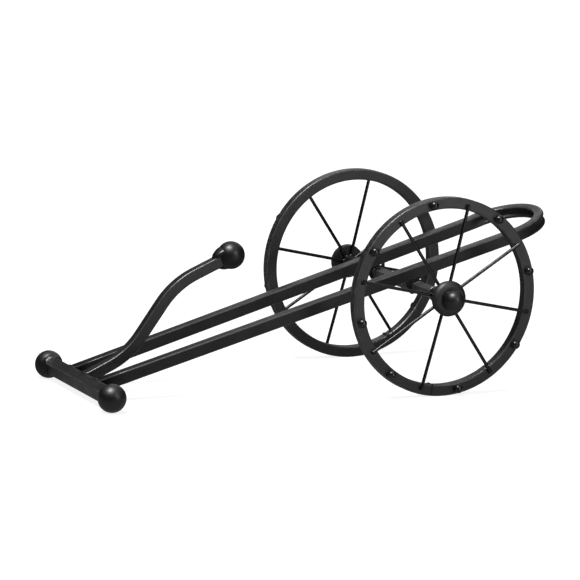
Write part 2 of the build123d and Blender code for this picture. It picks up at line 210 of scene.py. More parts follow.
# %% [markdown]
# ## Lamps
# Each ball of the cart shows two soft spots, and a ball is a good light meter:
# the place of a spot on the ball gives the direction of its lamp.
# The bright round spot near the top comes from a round lamp overhead, a little in front of the cart.
# The dim upright one to the right comes from a tall soft box.
# A third, weak panel stands behind and to the right. It is what the tops of the rails reflect.


# %% Lamps
def soft_lamp(name, towards, distance, size, watts, shape="DISK"):
    """Set a soft lamp in a direction from the middle of the cart and turn it to face the cart."""
    lamp = bpy.data.lights.new(name, "AREA")
    lamp.energy = watts
    lamp.shape = shape
    lamp.size = size[0]
    lamp.size_y = size[1]
    holder = bpy.data.objects.new(name, lamp)
    bpy.context.scene.collection.objects.link(holder)
    middle = Vector((0.0, 0.0, 0.18))
    holder.location = middle + Vector(towards).normalized() * distance
    holder.rotation_euler = (middle - holder.location).to_track_quat("-Z", "Y").to_euler()


soft_lamp("overhead_lamp", (-0.323, -0.126, 0.938), 4.8, (2.1, 2.1), 248.0)
soft_lamp("right_lamp", (0.293, -0.860, 0.414), 3.0, (0.5, 1.5), 14.0, "RECTANGLE")
soft_lamp("back_lamp", (0.9, 1.54, 0.75), 1.9, (1.4, 0.6), 2.6, "RECTANGLE")
bpy.context.scene.view_settings.view_transform = "Standard"
print("lamps:", [lamp.name for lamp in bpy.data.lights])

# %% [markdown]
# ## Powder coat
# The whole cart is sprayed with black powder and baked. Seen close, such a coat has a fine orange peel,
# its shade and gloss drift a little, dust lies on what faces up, and the corners of the tubes are rubbed
# lighter, which is part wear and part a painted highlight along the corners.
# All of it is made from the object's own coordinates and normals, so that it rides with the wheels
# and needs no unwrapping.
# A corner of a tube is easy to find: on the flats the normal lies along or square to one axis of the tube,
# and only on the rounded corner it lies in between.


# %% Sockets that vary over a surface
def cloud(tree, add, scale, low, high, detail=3.0):
    """A soft noise over the object, spread between two numbers."""
    place = add("ShaderNodeTexCoord")
    grain = add("ShaderNodeTexNoise", Scale=scale, Detail=detail)
    tree.links.new(place.outputs["Object"], grain.inputs["Vector"])
    return spread(tree, add, grain.outputs["Fac"], 0.32, 0.68, low, high)


def times(tree, add, first, second):
    """The product of two sockets, or of a socket and a number."""
    product = add("ShaderNodeMath", operation="MULTIPLY")
    tree.links.new(first, product.inputs[0])
    if isinstance(second, float):
        product.inputs[1].default_value = second
    else:
        tree.links.new(second, product.inputs[1])
    return product.outputs[0]


def tint(tree, add, share, first, second):
    """A colour between two colours; the first may come from a socket."""
    mix = add("ShaderNodeMix", data_type="RGBA")
    tree.links.new(share, mix.inputs[0])
    if isinstance(first, tuple):
        mix.inputs[6].default_value = (*first, 1.0)
    else:
        tree.links.new(first, mix.inputs[6])
    mix.inputs[7].default_value = (*second, 1.0)
    return mix.outputs[2]


def shift(tree, add, share, first, second):
    """A number that goes from a socket's value to a fixed one."""
    mix = add("ShaderNodeMix", data_type="FLOAT")
    tree.links.new(share, mix.inputs[0])
    tree.links.new(first, mix.inputs[2])
    mix.inputs[3].default_value = second
    return mix.outputs[0]


# %% Where a coat is rubbed lighter with a painted highlight, dusty or scuffed
def along_axis(tree, add, axis):
    """How much of the object's own normal lies along an axis, from 0 to 1."""
    place = add("ShaderNodeTexCoord")
    dot = add("ShaderNodeVectorMath", operation="DOT_PRODUCT")
    tree.links.new(place.outputs["Normal"], dot.inputs[0])
    dot.inputs[1].default_value = axis
    size = add("ShaderNodeMath", operation="ABSOLUTE")
    tree.links.new(dot.outputs["Value"], size.inputs[0])
    return size.outputs[0]


def on_corners(tree, add, axis):
    """1 on the rounded corners of a tube, 0 on its flats."""
    share = along_axis(tree, add, axis)
    rise = spread(tree, add, share, 0.15, 0.55, 0.0, 1.0)
    fall = spread(tree, add, share, 0.80, 0.985, 1.0, 0.0)
    return times(tree, add, rise, fall)


def marked(tree, add, mark):
    """A share that is written on the points of the mesh."""
    return add("ShaderNodeAttribute", attribute_name=mark).outputs["Fac"]


def facing_up(tree, add):
    """1 on surfaces that face up, where dust settles."""
    place = add("ShaderNodeTexCoord")
    parts = add("ShaderNodeSeparateXYZ")
    tree.links.new(place.outputs["Normal"], parts.inputs[0])
    return spread(tree, add, parts.outputs["Z"], 0.55, 1.0, 0.0, 1.0)


def beyond(tree, add, middle, keep, first, last):
    """1 where the distance from a middle, counted along the kept axes only, is past last."""
    place = add("ShaderNodeTexCoord")
    from_middle = add("ShaderNodeVectorMath", operation="SUBTRACT")
    from_middle.inputs[1].default_value = middle
    tree.links.new(place.outputs["Object"], from_middle.inputs[0])
    kept = add("ShaderNodeVectorMath", operation="MULTIPLY")
    kept.inputs[1].default_value = keep
    tree.links.new(from_middle.outputs[0], kept.inputs[0])
    size = add("ShaderNodeVectorMath", operation="LENGTH")
    tree.links.new(kept.outputs[0], size.inputs[0])
    return spread(tree, add, size.outputs["Value"], first, last, 0.0, 1.0)


# %% The coat itself
coat_dark = (0.0052, 0.0052, 0.0054)
coat_light = (0.0105, 0.0104, 0.0106)
# The rubbed grey lightens the corners as real wear and also as a painted highlight along them.
rubbed_and_highlight_grey = (0.085, 0.084, 0.083)
dust_grey = (0.070, 0.067, 0.062)
bare_steel = (0.12, 0.117, 0.112)
polished, dusted, scraped = 0.26, 0.8, 0.62


def powder_coat(
    name, smooth, rough, gloss=0.5, shade=1.0, corner_axis=None, dusty=True, scuff=None, soft_edge=0.0
):
    """A black powder coat whose roughness drifts from smooth to rough.

    corner_axis is the axis that finds a tube's corners, or the name of a mark on the mesh's points.
    """
    paint = bpy.data.materials.new(name)
    tree, add = new_tree(paint)
    dark, light = (tuple(shade * part for part in colour) for colour in (coat_dark, coat_light))
    colour = tint(tree, add, cloud(tree, add, 26.0, 0.0, 1.0, 5.0), dark, light)
    roughness = cloud(tree, add, 48.0, smooth, rough, 4.0)

    if corner_axis is not None:
        if isinstance(corner_axis, str):
            corners = marked(tree, add, corner_axis)
        else:
            corners = on_corners(tree, add, corner_axis)
        # The rub lightens the corners' colour: part wear, part a painted highlight.
        rub_and_highlight = times(tree, add, corners, cloud(tree, add, 70.0, 0.4, 0.95, 4.0))
        colour = tint(tree, add, times(tree, add, rub_and_highlight, 0.8), colour, rubbed_and_highlight_grey)
        roughness = shift(tree, add, rub_and_highlight, roughness, polished)
    if dusty:
        dust = times(tree, add, facing_up(tree, add), cloud(tree, add, 34.0, 0.0, 0.05, 6.0))
        colour = tint(tree, add, dust, colour, dust_grey)
        roughness = shift(tree, add, dust, roughness, dusted)
    if scuff is not None:
        worn = times(tree, add, beyond(tree, add, *scuff), cloud(tree, add, 190.0, -0.30, 0.30, 7.0))
        colour = tint(tree, add, worn, colour, bare_steel)
        roughness = shift(tree, add, worn, roughness, scraped)

    place = add("ShaderNodeTexCoord")
    peel = add("ShaderNodeTexNoise", Scale=430.0, Detail=2.0)
    tree.links.new(place.outputs["Object"], peel.inputs["Vector"])
    bump = add("ShaderNodeBump", Strength=0.10, Distance=0.0006)
    tree.links.new(peel.outputs["Fac"], bump.inputs["Height"])
    if soft_edge:
        edge = add("ShaderNodeBevel", samples=6, Radius=soft_edge)
        tree.links.new(edge.outputs["Normal"], bump.inputs["Normal"])

    shader = add("ShaderNodeBsdfPrincipled")
    shader.inputs["Specular IOR Level"].default_value = gloss
    tree.links.new(colour, shader.inputs["Base Color"])
    tree.links.new(roughness, shader.inputs["Roughness"])
    tree.links.new(bump.outputs["Normal"], shader.inputs["Normal"])
    coat_out = add("ShaderNodeOutputMaterial")
    tree.links.new(shader.outputs[0], coat_out.inputs["Surface"])
    return paint


# %% [markdown]
# ## Coats for each kind of piece
# It is one powder from one oven, but each shape wears in its own way, so each kind of piece
# gets its own coat. The crossbar is rubbed lighter along corners that its square axis finds, the horn and the
# rims along corners that face sideways, and the drawbar along a mark that it carries; that lighter rub is part
# wear and part a painted highlight. The treads are scuffed by the ground, and the ball feet at their lowest
# point.
# Rods and studs came out of the oven glossier than the tubes. The axle's bar is painted several times lighter
# than the other coats, a painted light for the light that falls on its top, and the welds under the rails
# and inside the hubs flowed out smooth and bright.

# %% Measures shared with the solids
slope = math.radians(16.44)
splay = math.tan(math.radians(1.33))
along = Vector((math.cos(slope), 0.0, math.sin(slope)))
square = Vector((-math.sin(slope), 0.0, math.cos(slope)))
sideways = Vector((0.0, 1.0, 0.0))
joints = {joint["name"]: joint for joint in frame["record"]["behaviour"]["joints"]}
axle_x, _, axle_z = joints["wheel_left_spin"]["pos_m"]
axle_middle = Vector((axle_x, 0.0, axle_z))
wheel_radius = 0.178
rail_rise = 0.0276
rail_middle = axle_middle + Vector((0.0, 0.0, rail_rise))


def on_rails(station, across, above):
    """A point given up the slope of the rails, across the cart and square to the rails."""
    return rail_middle + along * station + sideways * across + square * above


print("axle at", round(axle_x, 4), round(axle_z, 4))


# %% Coats
def dress(node, finish):
    """Give a solid one finish."""
    materials = frame["nodes"][node].data.materials
    materials.clear()
    materials.append(finish)


foot_floor = ((0.0, 0.0, 0.2), (0.0, 0.0, 1.0), 0.1945, 0.1995)
tread = (tuple(axle_middle), (1.0, 0.0, 1.0), 0.1762, 0.1779)
coats = {
    "drawbar": powder_coat("drawbar_coat", 0.36, 0.45, gloss=0.55, shade=1.1, corner_axis="rubbed_and_highlight_corner"),
    "rail": powder_coat("rail_coat", 0.36, 0.45, gloss=0.55, shade=1.1, corner_axis=tuple(square)),
    "horn": powder_coat("horn_coat", 0.36, 0.45, gloss=0.9, corner_axis=tuple(sideways)),
    "foot": powder_coat("foot_coat", 0.37, 0.41, gloss=0.82, shade=0.6, scuff=foot_floor),
    "knob": powder_coat("knob_coat", 0.37, 0.41, gloss=0.66, shade=0.6),
    "plate": powder_coat("plate_coat", 0.36, 0.46, shade=0.8, soft_edge=0.0007),
    # The axle's coat is painted several times lighter than the rest, a painted light for the light that falls
    # on its top.
    "axle": powder_coat("axle_painted_light_coat", 0.34, 0.46, gloss=0.8, shade=7.0, soft_edge=0.0007),
    "weld": powder_coat("weld_coat", 0.30, 0.40, gloss=0.55),
    "bright_weld": powder_coat("bright_weld_coat", 0.15, 0.22, gloss=1.0),
    "rim": powder_coat(
        "rim_coat", 0.36, 0.46, gloss=1.0, corner_axis=tuple(sideways), dusty=False, scuff=tread
    ),
    "spoke": powder_coat("spoke_coat", 0.18, 0.24, gloss=0.62, shade=0.4, dusty=False),
    "stud": powder_coat("stud_coat", 0.17, 0.24, gloss=0.7, shade=0.8, dusty=False),
    "tack": powder_coat("tack_coat", 0.44, 0.54, gloss=0.35, shade=0.8, dusty=False),
    "dome": powder_coat("dome_coat", 0.44, 0.52, gloss=0.8, shade=1.3, dusty=False, soft_edge=0.0005),
    "hub": powder_coat("hub_coat", 0.36, 0.42, gloss=0.8, shade=0.6, dusty=False, soft_edge=0.0005),
}
coat_of = {
    "rail_loop": "rail", "crossbar": "rail", "horn": "horn", "horn_ball": "knob",
    "foot_ball_left": "foot", "foot_ball_right": "foot", "hanger_left": "plate", "hanger_right": "plate",
    "axle": "axle",
}
for side in ("left", "right"):
    coat_of[f"rim_{side}"] = "rim"
    coat_of[f"spokes_{side}"] = "spoke"
    coat_of[f"rim_studs_{side}"] = "stud"
    for piece in ("barrel", "plate", "dome", "ball"):
        coat_of[f"hub_{piece}_{side}"] = "dome" if piece == "dome" else "hub"
for node, kind in coat_of.items():
    dress(node, coats[kind])
print("coats:", len(coats), "on", len(coat_of), "nodes")

# %% [markdown]
# ## Zinc
# The axle washers and the push nuts are bought parts, stamped from strip and plated with bright zinc.
# Brushing and tumbling leave fine rings around the hole. A wave texture with rings about the axle draws them
# into the bump and the roughness.

# %% Zinc plate
zinc = bpy.data.materials.new("zinc_plate")
tree, add = new_tree(zinc)
place = add("ShaderNodeTexCoord")
from_axle = add("ShaderNodeVectorMath", operation="SUBTRACT")
from_axle.inputs[1].default_value = axle_middle
tree.links.new(place.outputs["Object"], from_axle.inputs[0])
rings = add("ShaderNodeTexWave", wave_type="RINGS", rings_direction="Y", Scale=420.0)
rings.inputs["Distortion"].default_value = 2.5
rings.inputs["Detail"].default_value = 3.0
tree.links.new(from_axle.outputs[0], rings.inputs["Vector"])
stain = cloud(tree, add, 190.0, 0.0, 0.8, 5.0)
colour = tint(tree, add, stain, (0.66, 0.67, 0.69), (0.47, 0.46, 0.44))
roughness = spread(tree, add, rings.outputs["Fac"], 0.0, 1.0, 0.22, 0.38)
bump = add("ShaderNodeBump", Strength=0.15, Distance=0.0002)
tree.links.new(rings.outputs["Fac"], bump.inputs["Height"])
shader = add("ShaderNodeBsdfPrincipled", Metallic=1.0)
tree.links.new(colour, shader.inputs["Base Color"])
tree.links.new(roughness, shader.inputs["Roughness"])
tree.links.new(bump.outputs["Normal"], shader.inputs["Normal"])
zinc_out = add("ShaderNodeOutputMaterial")
tree.links.new(shader.outputs[0], zinc_out.inputs["Surface"])
zinc_nodes = ("washer_left", "washer_right", "push_nut_left", "push_nut_right")
for node in zinc_nodes:
    dress(node, zinc)
print("zinc on", len(zinc_nodes), "nodes")

# %% [markdown]
# ## Washers
# A stamped washer has rolled edges and a small burr on one side, where the punch came out.
# A plain ring would look like a drawing, so the section is drawn with its rolls and burr
# and spun round the axle.


# %% Pieces from a mesh
def make_piece(name, mesh, body, material, smooth=True):
    """A named piece from a bmesh, riding on a body, with a finish."""
    bmesh.ops.recalc_face_normals(mesh, faces=mesh.faces)
    data = bpy.data.meshes.new(name)
    mesh.to_mesh(data)
    mesh.free()
    for polygon in data.polygons:
        polygon.use_smooth = smooth
    data.materials.append(material)
    piece = bpy.data.objects.new(name, data)
    bpy.context.scene.collection.objects.link(piece)
    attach(piece, body)
    print(name, "faces:", len(data.polygons))
    return piece


def spin_section(mesh, section, middle, steps):
    """Spin a closed section of (radius, side) points round the axle."""
    rings = []
    for step in range(steps):
        angle = 2 * math.pi * step / steps
        out = Vector((math.cos(angle), 0.0, math.sin(angle)))
        rings.append([mesh.verts.new(middle + out * radius + sideways * side) for radius, side in section])
    for ring, after in zip(rings, rings[1:] + rings[:1]):
        for index in range(len(section)):
            follow = (index + 1) % len(section)
            mesh.faces.new((ring[index], after[index], after[follow], ring[follow]))


# %% Washers
hole_radius, edge_roll = 0.0072, 0.0006


def washer_section(outer, thick):
    """The rounded section of a washer, as (radius, level) points, with a burr on its outer edge."""
    section = []
    far, near = outer - edge_roll, hole_radius + edge_roll
    top, bottom = thick - edge_roll, edge_roll
    for radius, level, start in ((far, top, 0), (near, top, 90), (near, bottom, 180), (far, bottom, 270)):
        for part in range(5):
            angle = math.radians(start + part * 22.5)
            section.append((radius + edge_roll * math.cos(angle), level + edge_roll * math.sin(angle)))
    section.insert(-1, (outer + 0.0001, 0.0003))
    return section


for side, sign in (("left", -1.0), ("right", 1.0)):
    low, high = (Vector(corner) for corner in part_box(f"washer_{side}"))
    thick = high.y - low.y
    section = washer_section((high.x - low.x) / 2, thick)
    section = [(radius, sign * (level - thick / 2)) for radius, level in section]
    mesh = bmesh.new()
    spin_section(mesh, section, Vector((axle_x, (low.y + high.y) / 2, axle_z)), 96)
    washer = make_piece(f"stamped_washer_{side}", mesh, "frame", zinc)
    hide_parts(f"washer_{side}")

# %% [markdown]
# ## Drawbar
# The drawbar is one square tube, bent cold round a die. A square tube doesn't keep its section in a bend:
# its outer wall is stretched and drawn in between two rolled lips, its inner wall is pushed together
# and buckles inwards, and all its corners grow rounder. Those hollows and lips catch the lamp
# as bright streaks.
# A curve with a bevel keeps one section along its whole length. So the tube is swept here ring by ring,
# and each ring is blended between the plain square and the bent section.

# %% Path of the drawbar
ball_radius = 0.025
crossbar_station = (ball_radius - wheel_radius - rail_rise) / math.sin(slope)
rail_gauge = 0.077
bend_start = 0.210
splay_angle = math.atan(splay)
bend_radius = (rail_gauge + bend_start * splay) / math.cos(splay_angle)
bend_middle = bend_start + bend_radius * math.sin(splay_angle)
bend_end = math.pi / 2 + splay_angle
bend_lift = 0.0021
rail_end = crossbar_station + 0.009


def bend_share(turn):
    """How far the section has changed at a turn round the bend: 0 at its ends, 1 in its middle."""
    return 1.0 - (turn / bend_end) ** 2


def ease(share):
    """A share from 0 to 1 that starts and ends softly."""
    share = min(1.0, max(0.0, share))
    return share * share * (3.0 - 2.0 * share)


def crush_share(into_bend):
    """How far the inner wall has buckled at a distance past the start of the bend."""
    lead, run = 0.022, 0.040
    return ease((into_bend + lead) / run)


def far_share(turn):
    """0 on the near side of the bend and 1 on the far side, whose top wall was pulled up higher."""
    return ease(0.5 - turn / math.radians(90.0))


def drawbar_path():
    """Stations of the tube: place on the rails, way outwards, and the three shares of the bend."""
    straight, round_steps = 40, 96
    stops = []
    for step in range(straight):
        station = bend_start + (rail_end - bend_start) * (1.0 - step / straight) ** 3
        crush = crush_share(station - bend_start)
        stops.append((station, -(rail_gauge + station * splay), 0.0, bend_end, 0.0, crush, 0.0))
    for step in range(round_steps + 1):
        turn = bend_end * (1.0 - 2.0 * step / round_steps)
        lift = bend_lift * (math.cos(turn) - math.cos(bend_end)) / (1.0 - math.cos(bend_end))
        station, across = bend_middle + bend_radius * math.cos(turn), -bend_radius * math.sin(turn)
        crush = crush_share((bend_end - abs(turn)) * bend_radius)
        stops.append((station, across, lift, turn, bend_share(turn), crush, far_share(turn)))
    for station, across, lift, turn, bend, crush, _ in reversed(stops[:straight]):
        stops.append((station, -across, lift, -turn, bend, crush, 1.0))
    return stops


print("bend: radius", round(bend_radius, 4), "starts", bend_start, "up the slope")


# %% Section of the drawbar
rail_half, rail_corner = 0.011, 0.0025


def half_section(bend, crush, outer_half, inner_half):
    """Half of the section, from the middle of the outer wall over the top: (outwards, up, corner) points."""
    outer_reach, inner_reach = rail_half - 0.0040 * bend, rail_half
    lip = rail_corner + 0.0020 * bend + 0.0012 * crush
    corner = rail_corner + 0.0015 * crush
    outer_hollow, inner_hollow = 0.0029 * bend, 0.0042 * crush
    lip_middle = Vector((outer_reach - lip, outer_half - lip))
    corner_middle = Vector((corner - inner_reach, inner_half - corner))
    between = lip_middle - corner_middle
    fall = math.pi / 2 + math.atan2(between.y, between.x) + math.asin((lip - corner) / between.length)
    stages = (0.0, 0.15, 0.3, 0.45, 0.6, 0.75, 0.87, 0.95, 1.0)
    points = []
    for stage in stages:
        points.append((outer_reach - outer_hollow * (1.0 - stage**2) ** 2, lip_middle.y * stage, 0.0))
    for middle, radius, first, last in ((lip_middle, lip, 0.0, fall), (corner_middle, corner, fall, math.pi)):
        for part in range(11):
            angle = first + (last - first) * part / 10
            # worn is the corner's share of the rub, which is part wear and part a painted highlight.
            worn = math.sin(math.pi * part / 10)
            points.append((middle.x + radius * math.cos(angle), middle.y + radius * math.sin(angle), worn))
    for stage in reversed(stages):
        points.append((inner_hollow * (1.0 - stage**2) ** 2 - inner_reach, corner_middle.y * stage, 0.0))
    return points


def whole_section(bend, crush, far):
    """The section all round, with each doubled point left out."""
    pull = far * crush
    lip_half = rail_half + 0.0016 * bend
    inner_half = rail_half + 0.0003 * bend + 0.0024 * pull
    upper = half_section(bend, crush, lip_half + 0.0018 * pull, inner_half)
    lower = half_section(bend, crush, lip_half, rail_half - 0.0014 * bend)
    lower = [(outwards, -up, worn) for outwards, up, worn in reversed(lower)]
    points = []
    for point in upper + lower:
        if not points or math.dist(point[:2], points[-1][:2]) > 1e-7:
            points.append(point)
    return points[:-1]


print("drawbar section:", len(whole_section(1.0, 1.0, 0.0)), "points")

# %% Sweep of the drawbar
mesh = bmesh.new()
mark = mesh.verts.layers.float.new("rubbed_and_highlight_corner")
rings = []
for station, across, lift, turn, bend, crush, far in drawbar_path():
    outwards = along * math.cos(turn) - sideways * math.sin(turn)
    ring = []
    for out, up, worn in whole_section(bend, crush, far):
        corner = mesh.verts.new(on_rails(station, across, lift + up) + outwards * out)
        corner[mark] = worn
        ring.append(corner)
    rings.append(ring)
for ring, after in zip(rings, rings[1:]):
    for index in range(len(ring)):
        follow = (index + 1) % len(ring)
        mesh.faces.new((ring[index], after[index], after[follow], ring[follow]))
mesh.faces.new(rings[0])
mesh.faces.new(rings[-1])
drawbar = make_piece("drawbar", mesh, "frame", coats["drawbar"])
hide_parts("rail_loop")

# %% [markdown]
# ## Weld beads
# The cart is welded by hand. A bead is a row of small overlapping puddles, so its face has crescents,
# its edges wander and it grows and shrinks with the welder's hand.
# A bevelled curve would give a smooth sausage. Here a bead is swept as its own small section:
# two toes, one on each of the joined faces, and a crown between them that rises and falls with each puddle.


# %% One bead
def add_bead(mesh, stations, closed, pitch, seed, taper=True):
    """Sweep a bead through stations of (root, toe, toe, crown direction, crown rise)."""
    points_across = 7
    travelled = [0.0]
    for before, after in zip(stations, stations[1:]):
        travelled.append(travelled[-1] + (after[0] - before[0]).length)
    whole = travelled[-1] or 1.0
    rings = []
    for distance, (root, toe_a, toe_b, crown, rise) in zip(travelled, stations):
        hand = noise.noise(Vector((distance * 160.0, seed, 0.3)))
        size = 1.0 + 0.20 * hand
        if taper and not closed:
            size *= max(0.12, 1.0 - abs(2.0 * distance / whole - 1.0) ** 6)
        wander = 0.12 * noise.noise(Vector((distance * 110.0, seed, 7.7)))
        start = root + (toe_a - root) * size * (1.0 + wander)
        end = root + (toe_b - root) * size * (1.0 - wander)
        ring = []
        for step in range(points_across):
            share = step / (points_across - 1)
            arch = 4.0 * share * (1.0 - share)
            puddle = abs(math.sin(math.pi * (distance / pitch - 0.35 * arch))) ** 0.6
            height = rise * size * arch * (0.62 + 0.38 * puddle)
            ring.append(mesh.verts.new(start.lerp(end, share) + crown * (height - 0.0002)))
        ring.append(mesh.verts.new(root - crown * 0.0008))
        rings.append(ring)
    pairs = list(zip(rings, rings[1:] + rings[:1] if closed else rings[1:]))
    for ring, after in pairs:
        for index in range(len(ring)):
            follow = (index + 1) % len(ring)
            mesh.faces.new((ring[index], after[index], after[follow], ring[follow]))
        for toe in (0, points_across - 1):
            mesh.edges.get((ring[toe], after[toe])).smooth = False
    if not closed:
        mesh.faces.new(rings[0])
        mesh.faces.new(rings[-1])


def fillet(root, side_a, side_b, leg_a, leg_b, bulge=0.25):
    """A station of a bead in the corner between two faces."""
    crown = (side_a + side_b).normalized()
    return root, root + side_a * leg_a, root + side_b * leg_b, crown, bulge * (leg_a + leg_b) / 2


def tube_outline(side, corner, step=0.0006):
    """Points round a rounded square, each with the way outwards, as pairs of flat vectors."""
    half = side / 2 - corner
    next_corners = ((-half, half), (-half, -half), (half, -half), (half, half))
    points = []
    for turn, next_corner in enumerate(next_corners):
        middle = Vector((half, half)) @ Matrix.Rotation(-turn * math.pi / 2, 2)
        for part in range(7):
            angle = turn * math.pi / 2 + part * math.pi / 12
            out = Vector((math.cos(angle), math.sin(angle)))
            points.append((middle + out * corner, out))
        start, out = points[-1]
        run = Vector(next_corner) + out * corner - start
        count = max(1, int(run.length / step))
        for part in range(1, count):
            points.append((start + run * part / count, out))
    return points


# %% [markdown]
# ## Welds at the crossbar
# The two rails and the horn end on the crossbar, which is a square tube with well rounded corners.
# The line where they meet isn't flat: at the top and bottom it dips over the crossbar's corners.
# It is found by walking along each tube until the bar's surface is reached, with the bar written
# as a distance: below zero inside the rounded square and above zero outside.

# %% Where a tube meets the crossbar
crossbar_middle = on_rails(crossbar_station, 0.0, 0.0)
crossbar_half, crossbar_corner = 0.0125, 0.004


def from_crossbar(point):
    """How far a point lies outside the crossbar's rounded square."""
    offset = point - crossbar_middle
    core = crossbar_half - crossbar_corner
    u = max(abs(offset.dot(along)) - core, 0.0)
    v = max(abs(offset.dot(square)) - core, 0.0)
    return math.hypot(u, v) - crossbar_corner


def crossbar_normal(point):
    """The way straight out of the crossbar at a point of its surface."""
    tiny = 1e-5
    u = from_crossbar(point + along * tiny) - from_crossbar(point - along * tiny)
    v = from_crossbar(point + square * tiny) - from_crossbar(point - square * tiny)
    return (along * u + square * v).normalized()


def walk_to_crossbar(point, direction):
    """The point of the crossbar's surface on a line that starts inside it."""
    inside, outside = 0.0, 0.06
    for _ in range(40):
        middle = (inside + outside) / 2
        if from_crossbar(point + direction * middle) > 0.0:
            outside = middle
        else:
            inside = middle
    return point + direction * outside


def crossbar_bead(mesh, start, direction, up, side, corner, leg, pitch, seed):
    """A bead round the end of a tube that leaves the crossbar in a direction."""
    stations = []
    for flat, out in tube_outline(side, corner):
        base = start + sideways * flat.x + up * flat.y
        root = walk_to_crossbar(base, direction)
        outwards = sideways * out.x + up * out.y
        normal = crossbar_normal(root)
        down = (outwards - normal * outwards.dot(normal)).normalized()
        stations.append(fillet(root, direction, down, leg, leg * 0.9))
    add_bead(mesh, stations, True, pitch, seed)


# %% Beads of the rails and the horn on the crossbar
bead_leg, bead_pitch = 0.0028, 0.0026
mesh = bmesh.new()
for sign in (-1.0, 1.0):
    start = crossbar_middle + sideways * sign * (rail_gauge + crossbar_station * splay)
    way = (along + sideways * sign * splay).normalized()
    crossbar_bead(mesh, start, way, square, 2 * rail_half, rail_corner, bead_leg, bead_pitch, 3.0 + sign)
make_piece("rail_welds", mesh, "frame", coats["weld"])

horn_side, horn_corner = 0.020, 0.0025
root_angle = math.radians(25.0)
root_way = Vector((math.cos(root_angle), 0.0, math.sin(root_angle)))
root_up = Vector((-math.sin(root_angle), 0.0, math.cos(root_angle)))
mesh = bmesh.new()
crossbar_bead(
    mesh, crossbar_middle, root_way, root_up, horn_side, horn_corner, bead_leg, bead_pitch, 11.0
)
make_piece("horn_root_weld", mesh, "frame", coats["weld"])

# %% [markdown]
# ## Welds at the balls
# Each ball has a small flat where a tube's end sits, and a bead closes the step between
# the square tube and the ball. A ring of one size would look turned on a lathe, so the length of a bead's legs
# is a small function of how far up the tube a point lies.
# On the horn the welder laid a thick ramp over the top, a lump under the tube and a thin line on the sides.


# %% Beads round a ball's seat
def ball_bead(mesh, ball, way, up, tube, corner, seat, legs, polar, pitch, seed):
    """A bead from a square tube onto a ball; legs and polar angle depend on how far up a point is."""
    side = up.cross(way).normalized()
    stations = []
    for flat, out in tube_outline(tube, corner):
        outwards = side * out.x + up * out.y
        root = ball - way * seat + side * flat.x + up * flat.y
        rise = out.y
        around = (side * flat.x + up * flat.y).normalized()
        toe_tube = root - way * legs(rise)
        onto_ball = around * math.sin(polar(rise)) - way * math.cos(polar(rise))
        toe_ball = ball + onto_ball * (ball_radius + 0.0001)
        crown = (outwards - way * 0.7).normalized()
        stations.append((root, toe_tube, toe_ball, crown, 0.22 * legs(rise) + 0.0004))
    add_bead(mesh, stations, True, pitch, seed)


# %% Beads of the feet
foot_reach, foot_seat = 0.1575, 0.01894


def foot_leg(rise):
    """The length of the bead's leg on the crossbar."""
    return 0.0046 + 0.0014 * rise


def foot_polar(rise):
    """The angle from the foot's axis at which the bead ends on the ball."""
    return math.radians(49.0 + 4.0 * rise)


mesh = bmesh.new()
for sign in (-1.0, 1.0):
    ball = crossbar_middle + sideways * sign * foot_reach
    ball_bead(
        mesh, ball, sideways * sign, square, 2 * crossbar_half, crossbar_corner, foot_seat,
        foot_leg, foot_polar, 0.0085, 21.0 + sign,
    )
make_piece("foot_welds", mesh, "frame", coats["weld"])

# %% [markdown]
# ## Runs in the coat
# Where the powder lies too thick it sags in the oven, and a few short runs end in drops
# on the balls of the feet.
# They could be painted as bump, but their outline shows at the ball's edge.
# So each one is a narrow bead without puddles, laid down the ball and swelling to a drop.


# %% Runs on the feet
def paint_run(mesh, ball, start, length, seed):
    """A run down a ball: a thin track that ends in a fat drop."""
    upright = Vector((0.0, 0.0, 1.0))
    stations = []
    for step in range(25):
        share = step / 24
        level = start - upright * share * length / ball_radius
        out = level.normalized()
        side = out.cross(upright).normalized()
        swell = 0.35 + 0.65 * math.exp(-(((share - 0.72) / 0.2) ** 2))
        root = ball + out * ball_radius
        width = 0.0016 * swell
        stations.append((root, root + side * width, root - side * width, out, 0.0011 * swell))
    add_bead(mesh, stations, False, 1.0, seed)


near_foot = crossbar_middle - sideways * foot_reach
far_foot = crossbar_middle + sideways * foot_reach
runs = (
    (near_foot, -0.30, 0.66, 0.006), (near_foot, 0.02, 0.70, 0.005),
    (far_foot, 0.25, 0.62, 0.007), (near_foot, 0.55, 0.55, 0.004),
)
mesh = bmesh.new()
for ball, right, down, length in runs:
    start = camera_right * right - camera_up * down + camera_back * math.sqrt(1.0 - right**2 - down**2)
    paint_run(mesh, ball, start, length, 131.0 + 10.0 * right)
make_piece("paint_runs", mesh, "frame", coats["weld"])

# %% Bead of the horn's ball
horn_ball_middle = crossbar_middle
for angle, leg in ((25.0, 0.100), (55.0, 0.148), (24.0, 0.1175)):
    tip_way = Vector((math.cos(math.radians(angle)), 0.0, math.sin(math.radians(angle))))
    horn_ball_middle = horn_ball_middle + tip_way * leg
tip_up = Vector((-tip_way.z, 0.0, tip_way.x))
horn_seat = 0.0211


def tip_leg(rise):
    """The length of the bead's leg on the horn: a ramp on top, a lump below."""
    return 0.0022 + 0.0110 * max(rise, 0.0) ** 1.5 + 0.0075 * max(-rise, 0.0) ** 1.5


def tip_polar(rise):
    """The angle from the horn's axis at which the bead ends on the ball."""
    return math.radians(35.0 + 26.0 * max(rise, 0.0) ** 1.5 + 23.0 * max(-rise, 0.0) ** 1.5)


mesh = bmesh.new()
ball_bead(
    mesh, horn_ball_middle, tip_way, tip_up, horn_side, horn_corner, horn_seat,
    tip_leg, tip_polar, 0.0048, 31.0,
)
make_piece("horn_ball_weld", mesh, "frame", coats["weld"])
print("horn ball at", [round(value, 4) for value in horn_ball_middle])

